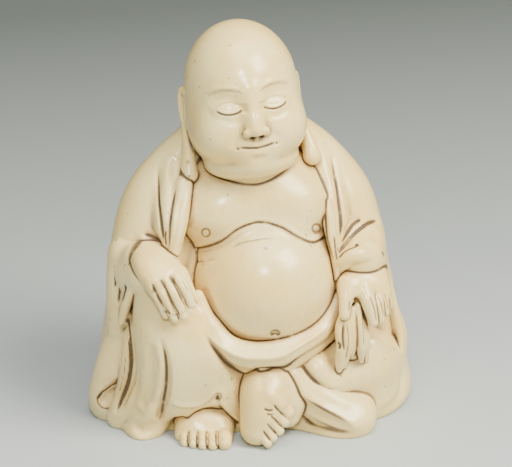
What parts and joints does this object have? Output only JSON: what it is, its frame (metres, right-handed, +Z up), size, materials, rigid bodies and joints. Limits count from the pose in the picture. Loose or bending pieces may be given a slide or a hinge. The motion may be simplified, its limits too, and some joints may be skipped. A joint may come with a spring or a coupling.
{
  "type": "seated budai figure",
  "caption": "Small carved figure of a plump seated man in an open robe, one knee raised and both hands on the knees, standing by its own weight on a flat underside.",
  "frame": {"origin": "on the flat underside, under the middle of the base", "axes": "+Z up towards the crown, -Y the way the figure faces, +X towards its left hand"},
  "size_m": [0.0744, 0.0539, 0.091],
  "materials": {
    "ivory": "polished ivory, brown stain in the cuts"
  },
  "bodies": {
    "root": {"budai_figure": "ivory"}
  },
  "joints": []
}
